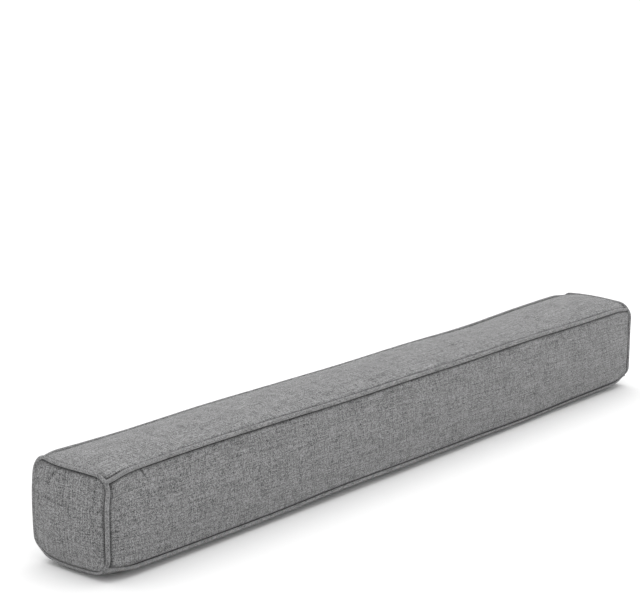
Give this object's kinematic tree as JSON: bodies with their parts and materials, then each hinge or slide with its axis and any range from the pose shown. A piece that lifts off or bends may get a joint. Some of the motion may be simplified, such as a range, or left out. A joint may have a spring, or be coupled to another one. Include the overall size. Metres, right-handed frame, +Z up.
{
  "type": "draught excluder",
  "caption": "Long square cushion in grey woven cloth with self-piping on every edge, laid along the foot of a door to stop draughts.",
  "frame": {"origin": "on the surface the cushion lies on, below its middle", "axes": "+X along the length, -Y is the front, +Z up"},
  "size_m": [0.91, 0.108, 0.1137],
  "materials": {
    "woven_cloth": "matt plain weave with slubs, mid grey",
    "piping_cloth": "the same cloth cut on the bias and wrapped round a cord"
  },
  "bodies": {
    "root": {"cushion": "woven_cloth", "piping_left_end": "piping_cloth", "piping_right_end": "piping_cloth", "piping_front_top": "piping_cloth", "piping_front_bottom": "piping_cloth", "piping_back_bottom": "piping_cloth", "piping_back_top": "piping_cloth"}
  },
  "joints": []
}
